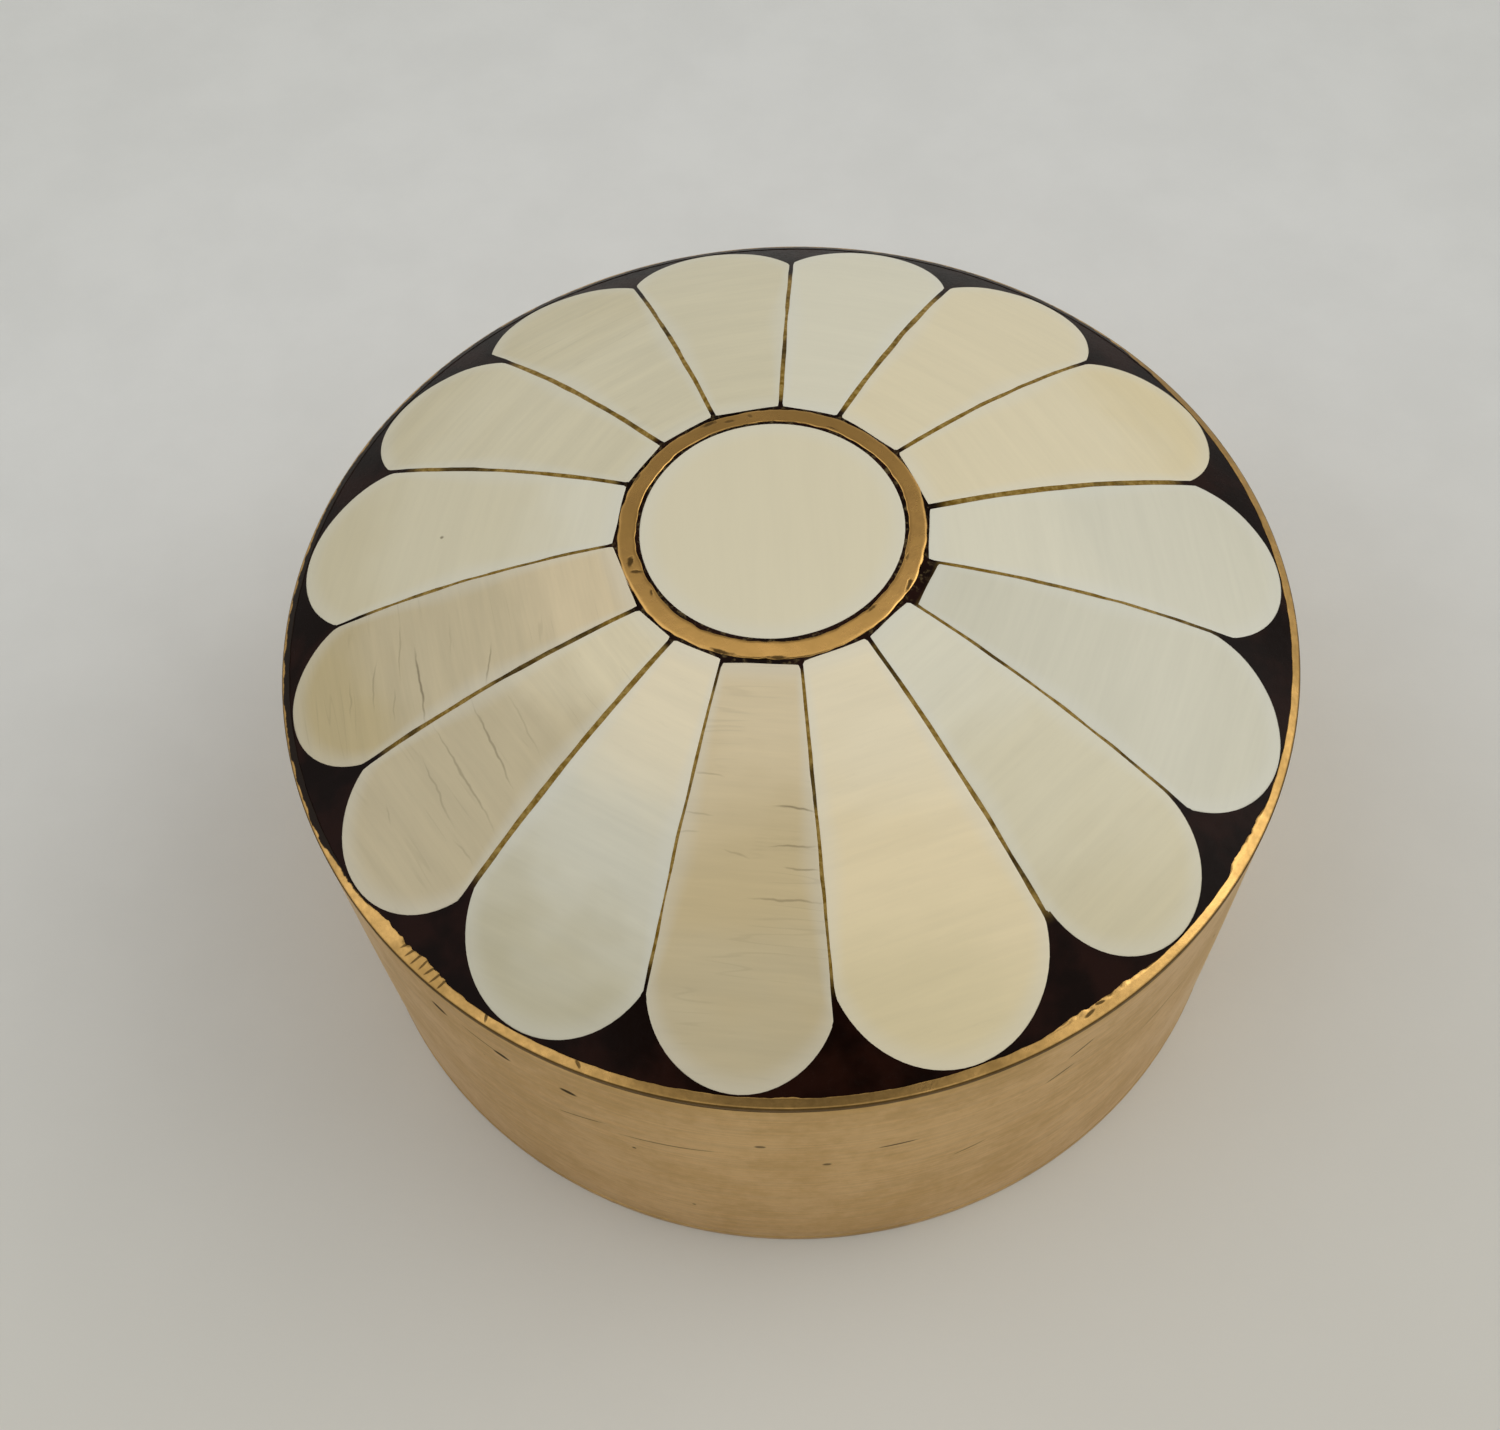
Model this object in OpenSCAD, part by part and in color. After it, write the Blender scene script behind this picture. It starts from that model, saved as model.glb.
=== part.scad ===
// Round pill box of sheet brass with a lift-off lid. The lid's domed top carries
// an inlay of bone: fifteen petals around a brass ring and a round bone centre,
// all bedded in dark resin. Millimetres, +Z up, origin at the centre of the
// resting face.

/* [Size] */
// Outside diameter of the box
outer_d = 50; // [40:1:60]
// Height of the lid's outer corner above the table
corner_z = 21.6; // [18:0.2:26]
// Radius of the sphere that the domed top follows
dome_r = 47; // [40:1:60]

/* [Sheet brass] */
// Thickness of the lid's wall and hoop
lid_wall = 0.4; // [0.4:0.1:0.8]
// Thickness of the base cup's wall
base_wall = 0.6; // [0.5:0.1:0.9]
// Thickness of the flat base plate
base_t = 0.6; // [0.5:0.1:1]
// Thickness of the domed plate under the inlay
dome_t = 0.6; // [0.5:0.1:0.9]
// Height of the hoop's outer face, from its joint with the wall to the corner
hoop_h = 0.3; // [0.2:0.1:1]
// Gap all round between the base cup's wall and the lid's wall
slip_fit = 0.06; // [0.03:0.01:0.1]
// Height of the base cup's lip above the table
lip_z = 17.8; // [14:0.2:18]
// Lead-in chamfer on the cup's lip and on the lower edge of the lid's wall
lead_in = 0.2; // [0.1:0.05:0.3]

/* [Inlay] */
// Thickness of the bone pieces
bone_t = 1.6; // [1.2:0.1:2]
// Thickness of the resin under the bone
bed_t = 0.4; // [0.2:0.1:0.6]
// Resin-filled gap between two petals
seam_w = 0.3; // [0.2:0.02:0.4]
// Resin between the tip of a petal and the hoop
tip_gap = 0.1; // [0.05:0.05:0.4]
// Shrinkage gap around the resin inside the brass
shrink_gap = 0.03; // [0.02:0.01:0.05]
// Radius of each petal's rounded tip: 1 just fills the space between its seams
tip_full = [0.97, 1.01, 1.03, 1.08, 1.12, 0.97, 1.05, 1.03, 0.97, 0.93, 1.02, 0.93, 0.9, 0.94, 0.98]; // [0.8:0.01:1.2]
// Sideways lean of each petal's tip, counter-clockwise
tip_lean = [0, 0.2, 0.3, 0.15, 0.2, 0.15, 0, -0.1, 0, 0, 0, 0, 0.15, -0.25, -0.1]; // [-0.5:0.05:0.5]
// How far each petal's root stands back beyond the gap around the ring
root_back = [0, 0, 0, 0, 0, 0, 0, 0, 0, 0, 0.15, 0, 0, 0.45, 0]; // [0:0.05:0.6]
// Direction of each seam where it meets the rim, counter-clockwise from +X
seam_rim = [14, 38.5, 62, 85, 107.5, 130.5, 154.5, 179.5, 200.5, 224, 250, 271.5, 299.5, 323, 349]; // [0:0.5:360]
// Direction of each seam where it meets the ring, counter-clockwise from +X
seam_ring = [4.5, 32.5, 60.5, 83, 108.5, 131.5, 153.5, 181.5, 211.5, 229.5, 248.5, 276.5, 301.5, 322.5, 340.5]; // [0:0.5:360]

/* [Centre] */
// Outside diameter of the brass ring
ring_d = 14.5; // [12:0.5:18]
// Width of the brass ring
ring_w = 0.8; // [0.5:0.1:1.2]
// Resin-filled gap on either side of the ring
ring_gap = 0.25; // [0.15:0.05:0.4]
// Sideways shift of the ring, which was set by hand, along X
ring_x = -0.5; // [-1:0.1:1]
// Sideways shift of the ring along Y
ring_y = 0.8; // [-1:0.1:1]

/* [Hidden] */
$fn = 96;
over = 1;
outer_r = outer_d / 2;
rim_r = outer_r - lid_wall;
base_r = rim_r - slip_fit;
dome_z = corner_z - sqrt(dome_r * dome_r - outer_r * outer_r);
joint_z = corner_z - hoop_h;
bone_r = dome_r - bone_t;
bed_r = bone_r - bed_t;
ring_r = ring_d / 2;
disc_r = ring_r - ring_w - ring_gap;
ring_at = [ring_x, ring_y];
petals = len(seam_rim);
petal_tints = ["#e2dfc9", "#e2dcc4", "#dfdfd0", "#d9d4bd", "#d6d2bc", "#d6ceb6", "#dcdac8", "#cfc7ab",
               "#d2c8ad", "#dfdfd2", "#d3c7aa", "#ddd0b4", "#d7cfb6", "#dedfd3", "#dfdfd4"];

function turned(r, a) = [r * cos(a), r * sin(a)];
function side(v) = [-v[1], v[0]] / norm(v);
function seam_from(i) = ring_at + turned(ring_r, seam_ring[i % petals]);
function seam_to(i) = turned(outer_r + over, seam_rim[i % petals]);
function petal_angle(i) = (seam_rim[(i + 1) % petals] - seam_rim[i] + 360) % 360;
function tip_r(i) = tip_full[i] * (rim_r - tip_gap) * 0.9 * sin(petal_angle(i) / 2);
function petal_node(i) = str("petal_", i < 9 ? "0" : "", i + 1);

// Solid between two spheres that share the dome's centre, cut to radius r
module dome_shell(top, bottom, r) {
    intersection() {
        translate([0, 0, dome_z]) difference() {
            sphere(r = top);
            sphere(r = bottom);
        }
        cylinder(r = r, h = dome_z + dome_r + over);
    }
}

// Straight tube standing at z, cut from a solid round
module tube(r_out, r_in, z, h) {
    translate([0, 0, z]) difference() {
        cylinder(r = r_out, h = h);
        translate([0, 0, -over]) cylinder(r = r_in, h = h + 2 * over);
    }
}

// Plan of petal i: the wedge between two seams, rounded at the rim
module petal_plan(i) {
    from = seam_from(i);
    to = seam_to(i);
    next_from = seam_from(i + 1);
    next_to = seam_to(i + 1);
    in_from = side(to - from) * seam_w / 2;
    in_next = side(next_to - next_from) * seam_w / 2;
    tip_at = rim_r - tip_gap - tip_r(i);
    difference() {
        intersection() {
            polygon([from + in_from, to + in_from, next_to - in_next, next_from - in_next]);
            union() {
                circle(r = tip_at);
                rotate(seam_rim[i] + petal_angle(i) / 2) translate([tip_at, tip_lean[i]]) circle(r = tip_r(i));
            }
        }
        translate(ring_at) circle(r = ring_r + ring_gap + root_back[i]);
    }
}

// A piece of the inlay: the plan of its children through the thickness of the bone
module inlay_piece() {
    intersection() {
        dome_shell(dome_r, bone_r, rim_r);
        linear_extrude(dome_z + dome_r + over) children();
    }
}

module base_plate() {
    color("#a98a52") cylinder(r = outer_r, h = base_t);
}

// Wall of the cup, soldered to the plate, with a chamfered lip that guides the lid
module base_band() {
    base_in = base_r - base_wall;
    color("#b39459") rotate_extrude() polygon([
        [base_in, base_t], [base_r, base_t], [base_r, lip_z - lead_in],
        [base_r - lead_in, lip_z], [base_in, lip_z]
    ]);
}

// Outer wall of the lid, which slips over the cup and rests on the base plate
module lid_band() {
    color("#b08f54") rotate_extrude() polygon([
        [rim_r + lead_in, base_t], [outer_r, base_t], [outer_r, joint_z],
        [rim_r, joint_z], [rim_r, base_t + lead_in]
    ]);
}

// Hoop soldered on the wall: it frames the inlay, and its top follows the dome
module lid_hoop() {
    color("#c19a55") intersection() {
        tube(outer_r, rim_r, joint_z, corner_z);
        translate([0, 0, dome_z]) sphere(r = dome_r);
    }
}

module lid_dome() {
    color("#a98a52") dome_shell(bed_r, bed_r - dome_t, rim_r);
}

// Resin poured on the domed plate around the bone and the ring
module resin_bed() {
    color("#1d120d") difference() {
        dome_shell(dome_r, bed_r, rim_r - shrink_gap);
        centre_disc();
        centre_ring();
        for (i = [0:petals - 1]) petal(i);
    }
}

module centre_ring() {
    color("#c09a58") inlay_piece() translate(ring_at) difference() {
        circle(r = ring_r);
        circle(r = ring_r - ring_w);
    }
}

module centre_disc() {
    color("#dfdbc8") inlay_piece() translate(ring_at) circle(r = disc_r);
}

module petal(i) {
    color(petal_tints[i]) inlay_piece() petal_plan(i);
}

base_plate();
base_band();
lid_band();
lid_hoop();
lid_dome();
resin_bed();
centre_ring();
centre_disc();
for (i = [0:petals - 1]) petal(i);
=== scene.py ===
from math import atan2, cos, hypot, pi, radians, sin, sqrt

import bmesh
import bpy
from mathutils import Matrix, Vector, noise


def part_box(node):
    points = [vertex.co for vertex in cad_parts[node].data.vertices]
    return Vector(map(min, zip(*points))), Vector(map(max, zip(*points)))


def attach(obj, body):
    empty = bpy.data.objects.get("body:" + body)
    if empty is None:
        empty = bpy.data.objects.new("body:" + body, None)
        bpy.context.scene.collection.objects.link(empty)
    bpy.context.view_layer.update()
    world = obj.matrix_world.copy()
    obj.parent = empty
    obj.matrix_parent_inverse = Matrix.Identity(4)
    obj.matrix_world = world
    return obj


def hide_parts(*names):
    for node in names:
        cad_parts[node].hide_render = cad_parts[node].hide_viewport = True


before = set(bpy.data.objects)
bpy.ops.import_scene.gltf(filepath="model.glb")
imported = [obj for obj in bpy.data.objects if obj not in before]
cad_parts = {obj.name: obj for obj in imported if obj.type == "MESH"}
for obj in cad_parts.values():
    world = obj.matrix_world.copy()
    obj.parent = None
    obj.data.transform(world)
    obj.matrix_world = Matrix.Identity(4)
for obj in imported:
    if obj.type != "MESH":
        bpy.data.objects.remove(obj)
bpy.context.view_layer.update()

# Base plate. A flat disc cut from sheet brass that closes the box underneath; the
# cup's wall is soldered on it, and the lid's wall stands on its edge.
mm = 0.001  # shapes are drawn in millimetres and scaled once, when they are finished


def size_mm(cad_node):
    """Outer radius, lowest and highest level of a CAD node, in millimetres."""
    low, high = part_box(cad_node)
    return high.x / mm, low.z / mm, high.z / mm


def turned(profile, steps=256):
    """A closed outline of (radius, height) points, spun about the upright axis."""
    bm = bmesh.new()
    points = [bm.verts.new((r, 0, z)) for r, z in profile]
    sides = [bm.edges.new(pair) for pair in zip(points, points[1:] + points[:1])]
    bmesh.ops.spin(
        bm, geom=points + sides, cent=(0, 0, 0), axis=(0, 0, 1), angle=2 * pi, steps=steps, use_merge=True
    )
    bmesh.ops.remove_doubles(bm, verts=bm.verts, dist=1e-5)
    bmesh.ops.recalc_face_normals(bm, faces=bm.faces)
    return bm


def steps_between(start, end, count):
    """Points from start up to, but not including, end."""
    return [tuple(a + (b - a) * i / count for a, b in zip(start, end)) for i in range(count)]


def soften(bm, width, angle=50, segments=4):
    """Round every edge that turns more sharply than the angle."""
    sharp = [e for e in bm.edges if len(e.link_faces) == 2 and e.calc_face_angle() > radians(angle)]
    bmesh.ops.bevel(
        bm, geom=sharp, offset=width, segments=segments, profile=0.5, affect="EDGES", material=-1
    )


def finished(bm, name, material, body, slot, *cad_nodes):
    """Make the piece at its real size, put its finish on, and join it to its body."""
    bmesh.ops.scale(bm, vec=(mm, mm, mm), verts=bm.verts)
    mesh = bpy.data.meshes.new(name)
    bm.to_mesh(mesh)
    bm.free()
    mesh.shade_smooth()
    mesh.materials.append(material)
    piece = bpy.data.objects.new(name, mesh)
    bpy.context.scene.collection.objects.link(piece)
    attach(piece, body)
    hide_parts(*cad_nodes)
    return piece


def add(tree, kind, inputs=None, **settings):
    """A node with its settings made and its inputs set or joined to other nodes' outputs."""
    node = tree.nodes.new(kind)
    for key, value in settings.items():
        setattr(node, key, value)
    for key, value in (inputs or {}).items():
        if isinstance(value, bpy.types.NodeSocket):
            tree.links.new(value, node.inputs[key])
        else:
            node.inputs[key].default_value = value
    return node


def ramped(tree, value, low, high, out_low=0.0, out_high=1.0):
    """The value, taken from low..high to out_low..out_high, smoothly."""
    limits = {"Value": value, "From Min": low, "From Max": high, "To Min": out_low, "To Max": out_high}
    return add(tree, "ShaderNodeMapRange", limits, interpolation_type="SMOOTHSTEP").outputs["Result"]


def sums(tree, operation, first, second):
    return add(tree, "ShaderNodeMath", {0: first, 1: second}, operation=operation).outputs[0]


def layered(tree, amount, under, over, way="MIX"):
    """One colour over another; amount is a number or a mask."""
    paint = {0: amount, 6: under, 7: over}
    return add(tree, "ShaderNodeMix", paint, data_type="RGBA", blend_type=way).outputs[2]


def shaded(tree, colour, factor):
    """A colour made lighter or darker by a factor."""
    grey = add(tree, "ShaderNodeCombineColor", {0: factor, 1: factor, 2: factor}).outputs[0]
    return layered(tree, 1.0, colour, grey, "MULTIPLY")


def empty_material(name):
    """A material with nothing in it yet, and its tree."""
    material = bpy.data.materials.new(name)
    material.use_nodes = True
    material.node_tree.nodes.clear()
    return material, material.node_tree


def give_surface(tree, inputs):
    """Make the surface from its inputs and join it to the material's output."""
    surface = add(tree, "ShaderNodeBsdfPrincipled", inputs)
    tree.links.new(surface.outputs[0], add(tree, "ShaderNodeOutputMaterial").inputs[0])


def in_mm(tree, stretch=(1, 1, 1), shift=(0, 0, 0)):
    """Object coordinates in millimetres, stretched for grain that runs one way."""
    place = add(tree, "ShaderNodeTexCoord").outputs["Object"]
    scale = tuple(s / mm for s in stretch)
    return add(tree, "ShaderNodeMapping", {"Vector": place, "Location": shift, "Scale": scale}).outputs[0]


def shader_group(name, inputs, outputs):
    """An empty node group with its sockets made; returns the tree and its two ends."""
    tree = bpy.data.node_groups.new(name, "ShaderNodeTree")
    for kind, in_out in ((inputs, "INPUT"), (outputs, "OUTPUT")):
        for socket, value in kind.items():
            made = tree.interface.new_socket(
                socket, in_out=in_out, socket_type="NodeSocketVector" if value is None else "NodeSocketFloat"
            )
            if value is not None and in_out == "INPUT":
                made.default_value = value
    return tree, add(tree, "NodeGroupInput").outputs, add(tree, "NodeGroupOutput").inputs


def noise_of(tree, vector, scale, detail=3.0, roughness=0.55, warp=0.0):
    look = {"Scale": scale, "Detail": detail, "Roughness": roughness, "Distortion": warp}
    return add(tree, "ShaderNodeTexNoise", {"Vector": vector, **look}).outputs["Fac"]


def worked_brass():
    """Wear that all the brass shares: blotches of tarnish, brushing, and small pits."""
    tree, given, result = shader_group(
        "worked_brass",
        {"Place": None, "Grain": None, "Pit spacing": 1.6},
        {"Blotch": 0.0, "Brushing": 0.0, "Pit": 0.0, "Height": 0.0},
    )
    broad = noise_of(tree, given["Place"], 0.16, 4.0, 0.6)
    fine = noise_of(tree, given["Place"], 1.4, 5.0, 0.65)
    blotch = sums(tree, "ADD", sums(tree, "MULTIPLY", broad, 0.65), sums(tree, "MULTIPLY", fine, 0.35))
    brushing = noise_of(tree, given["Grain"], 1.0, 4.0, 0.6)
    per_mm = sums(tree, "DIVIDE", 1.0, given["Pit spacing"])
    spread = {"Vector": given["Place"], "Scale": per_mm, "Randomness": 1.0}
    cells = add(tree, "ShaderNodeTexVoronoi", spread, feature="F1")
    chosen = add(tree, "ShaderNodeSeparateColor", {"Color": cells.outputs["Color"]}).outputs[0]
    small = ramped(tree, cells.outputs["Distance"], 0.02, 0.07, 1.0, 0.0)
    pit = sums(tree, "MULTIPLY", small, ramped(tree, chosen, 0.72, 0.8))
    height = sums(tree, "SUBTRACT", sums(tree, "MULTIPLY", brushing, 0.35), pit)
    height = sums(tree, "ADD", height, sums(tree, "MULTIPLY", fine, 0.4))
    for socket, value in (("Blotch", blotch), ("Brushing", brushing), ("Pit", pit), ("Height", height)):
        tree.links.new(value, result[socket])
    return tree


brass_wear = worked_brass()
grazing_tint = (1.0, 0.95, 0.88, 1)  # brass keeps its colour where it is seen edge on


def brass(name, bright, dull, roughness, grain, relief=0.02, pit_spacing=1.6, marks=None, film=None):
    """A brass finish: bright metal under thin tarnish, brushed along the grain.

    marks puts dirt in its scratches, and film is where dark resin still covers it."""
    material, tree = empty_material(name)
    wear = add(tree, "ShaderNodeGroup", {}, node_tree=brass_wear)
    tree.links.new(in_mm(tree), wear.inputs["Place"])
    tree.links.new(in_mm(tree, grain), wear.inputs["Grain"])
    wear.inputs["Pit spacing"].default_value = pit_spacing
    colour = layered(tree, ramped(tree, wear.outputs["Blotch"], 0.36, 0.64), bright + (1,), dull + (1,))
    brushed = ramped(tree, wear.outputs["Brushing"], 0.3, 0.7, 0.9, 1.06)
    colour = shaded(tree, colour, brushed)
    dark_marks = wear.outputs["Pit"]
    if marks:
        dark_marks = sums(tree, "MAXIMUM", dark_marks, marks(tree))
    colour = layered(tree, dark_marks, colour, (0.06, 0.035, 0.012, 1))
    bare = 1.0
    if film:
        covered = film(tree)
        colour = layered(tree, covered, colour, (0.012, 0.006, 0.003, 1))
        bare = sums(tree, "SUBTRACT", 1.0, covered)
    rough = ramped(tree, wear.outputs["Blotch"], 0.35, 0.65, roughness - 0.05, roughness + 0.07)
    rough = sums(tree, "ADD", rough, sums(tree, "MULTIPLY", dark_marks, 0.3))
    height = sums(tree, "SUBTRACT", wear.outputs["Height"], dark_marks)
    bump = add(tree, "ShaderNodeBump", {"Height": height, "Strength": 0.5, "Distance": relief * mm})
    give_surface(
        tree,
        {
            "Base Color": colour,
            "Roughness": rough,
            "Normal": bump.outputs[0],
            "Metallic": bare,
            "Specular Tint": grazing_tint,
            "Specular IOR Level": 0.1,
        },
    )
    return material


sheet_brass = brass(
    "sheet_brass", (0.70, 0.47, 0.20), (0.52, 0.34, 0.14), 0.34, grain=(0.15, 5, 5), pit_spacing=3.0
)
plate_r, _, plate_top = size_mm("base_plate")
outline = [
    *steps_between((0, 0), (plate_r, 0), 24),
    *steps_between((plate_r, 0), (plate_r, plate_top), 1),
    *steps_between((plate_r, plate_top), (0, plate_top), 24),
    (0, plate_top),
]
base_plate = turned(outline)
soften(base_plate, 0.12)
finished(base_plate, "base_plate_sheet", sheet_brass, "base", "brass_inner", "base_plate")

# Cup wall. A strip of the same sheet, bent round, soldered end to end and on to the
# base plate; its lip is filed round so that the lid slips on easily.
cup_r, cup_foot, cup_lip = size_mm("base_band")
cup_wall = 0.6
lip_round = 0.2
cup_brass = brass(
    "cup_brass", (0.72, 0.49, 0.21), (0.56, 0.37, 0.15), 0.3, grain=(0.12, 0.12, 7), pit_spacing=2.6
)
outline = [
    *steps_between((cup_r - cup_wall, cup_foot), (cup_r, cup_foot), 1),
    *steps_between((cup_r, cup_foot), (cup_r, cup_lip), 16),
    *steps_between((cup_r, cup_lip), (cup_r - cup_wall, cup_lip), 1),
    *steps_between((cup_r - cup_wall, cup_lip), (cup_r - cup_wall, cup_foot), 16),
]
cup = turned(outline)
soften(cup, lip_round)
finished(cup, "cup_wall_strip", cup_brass, "base", "brass_inner", "base_band")

# Domed plate. Sheet brass beaten to a shallow dome and soldered inside the lid's wall;
# it carries the inlay, and only its underside shows when the lid is off.
_, hoop_foot, hoop_top = size_mm("lid_hoop")
rim_r, _, plate_crown = size_mm("lid_dome")
_, _, apex = size_mm("centre_disc")
dome_r = (rim_r**2 + (apex - hoop_top) ** 2) / (2 * (apex - hoop_top))
dome_middle = apex - dome_r
plate_above = dome_r - (plate_crown - dome_middle)  # how far the plate lies below the dome
plate_t = 0.6


def dome_height(x, y, below=0.0):
    """Level of the dome over a point in plan, or of a surface that lies below it."""
    return dome_middle + sqrt((dome_r - below) ** 2 - x * x - y * y)


def dome_profile(below, start, end, count):
    """Points along the dome from one radius to another, the last one left out."""
    radii = [start + (end - start) * i / count for i in range(count)]
    return [(r, dome_height(r, 0, below)) for r in radii]


outline = [
    *dome_profile(plate_above + plate_t, 0, rim_r, 40),
    (rim_r, dome_height(rim_r, 0, plate_above + plate_t)),
    *dome_profile(plate_above, rim_r, 0, 40),
    (0, dome_height(0, 0, plate_above)),
]
finished(turned(outline), "dome_sheet", sheet_brass, "lid", "brass_inner", "lid_dome")

# Lid wall. A strip of brass bent round and soldered, slightly uneven from hand work,
# with a satin face that shows faint brushing, scratches and small pits.
wall_r, wall_foot, wall_top = size_mm("lid_band")
unevenness = 0.03
wall_edge = 0.05
wall_steps = 320


def scratches(tree, flat, marks, ragged=0.9, wander=0.0, soft=0.6):
    """Thin marks on a pattern in millimetres, as a mask.

    Each mark has its place, length, width, tilt in degrees, and how dark it is."""
    grain = noise_of(tree, flat, 3.0, 2.0)
    if wander:
        drift = {"Vector": flat, "Scale": 0.9, "Detail": 2.0}
        sway = {0: add(tree, "ShaderNodeTexNoise", drift).outputs["Color"], 1: (0.5, 0.5, 0.5)}
        sway = add(tree, "ShaderNodeVectorMath", sway, operation="SUBTRACT").outputs[0]
        sway = add(tree, "ShaderNodeVectorMath", {0: sway, "Scale": wander}, operation="SCALE").outputs[0]
        flat = add(tree, "ShaderNodeVectorMath", {0: flat, 1: sway}, operation="ADD").outputs[0]
    mask = 0.0
    for x, y, long, wide, tilt, dark in marks:
        place = {"Vector": flat, "Location": (x, y, 0), "Rotation": (0, 0, radians(tilt))}
        turned_flat = add(tree, "ShaderNodeMapping", place, vector_type="TEXTURE").outputs[0]
        size = {0: turned_flat, 1: (2 / long, 2 / wide, 0)}
        scaled = add(tree, "ShaderNodeVectorMath", size, operation="MULTIPLY").outputs[0]
        away = add(tree, "ShaderNodeVectorMath", {0: scaled}, operation="LENGTH").outputs["Value"]
        worn = sums(tree, "ADD", away, sums(tree, "MULTIPLY", grain, ragged))
        mark = ramped(tree, worn, 1.5 - soft, 1.5, dark, 0.0)
        mask = sums(tree, "MAXIMUM", mask, mark)
    return mask


def round_the_wall(tree):
    """The wall laid out flat, in millimetres: distance round it, and height."""
    x, y, z = add(tree, "ShaderNodeSeparateXYZ", {0: in_mm(tree)}).outputs
    angle = add(tree, "ShaderNodeMath", {0: y, 1: x}, operation="ARCTAN2").outputs[0]
    around = sums(tree, "MULTIPLY", angle, wall_r)
    return add(tree, "ShaderNodeCombineXYZ", {0: around, 1: z}).outputs[0], z


# direction in degrees, level, length and width in millimetres, tilt in degrees, darkness
wall_scratches = [
    (-134, 18.6, 0.9, 0.45, -22, 1),
    (-128, 18.6, 2.2, 0.14, -12, 0.62),
    (-125.5, 18.3, 0.9, 0.39, -10, 1),
    (-117.5, 17.9, 0.8, 0.42, -12, 1),
    (-117, 14.6, 2.6, 0.14, 20, 0.62),
    (-107, 14.5, 4.5, 0.17, 8, 0.62),
    (-97, 16.2, 0.5, 0.31, 0, 0.75),
    (-90, 13.4, 0.4, 0.31, 0, 0.75),
    (-82.5, 15.1, 1.8, 0.17, 3, 0.88),
    (-74, 11.3, 1.6, 0.14, 20, 0.62),
    (-64, 16.6, 1.6, 0.17, 25, 0.75),
    (-62, 18.6, 1.5, 0.17, 32, 0.75),
    (-48, 14.0, 3.0, 0.14, 12, 0.5),
]


def wall_marks(tree):
    """Scratches and dents at their places round the wall, and a dark line along the joint above it."""
    flat, level = round_the_wall(tree)
    # a thin band along the top of the wall is painted dark, where the wall meets the hoop
    dark_marks = ramped(tree, level, wall_top - 0.09, wall_top - 0.02)
    marks = [(radians(degrees) * wall_r, *mark) for degrees, *mark in wall_scratches]
    return sums(tree, "MAXIMUM", dark_marks, scratches(tree, flat, marks, ragged=0.4))


satin_brass = brass(
    "satin_brass",
    (0.73, 0.49, 0.21),
    (0.60, 0.39, 0.15),
    0.36,
    grain=(0.12, 0.12, 5),
    relief=0.012,
    pit_spacing=2.2,
    marks=wall_marks,
)
outline = [
    *steps_between((rim_r, wall_foot), (wall_r, wall_foot), 1),
    *steps_between((wall_r, wall_foot), (wall_r, wall_top), 28),
    *steps_between((wall_r, wall_top), (rim_r, wall_top), 1),
    *steps_between((rim_r, wall_top), (rim_r, wall_foot), 16),
]
wall = turned(outline, wall_steps)
soften(wall, wall_edge, segments=3)
for v in wall.verts:
    if hypot(v.co.x, v.co.y) > (rim_r + wall_r) / 2:  # the outer face alone
        dent = noise.noise(Vector((v.co.x, v.co.y, v.co.z * 1.5)) * 0.11) - 0.5
        v.co.xy *= 1 + unevenness * dent / wall_r
finished(wall, "lid_wall_strip", satin_brass, "lid", "brass_wall", "lid_band")

# Resin. Dark resin poured on the domed plate round the bone and the ring, then ground
# level with them and polished; where it is a thin glue line it looks amber.
ring_x, ring_y = -0.5, 0.8
ring_r = (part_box("centre_ring")[1].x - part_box("centre_ring")[0].x) / 2 / mm
seam_end = 20.6  # how far out the seams stay thin enough to look amber


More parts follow.
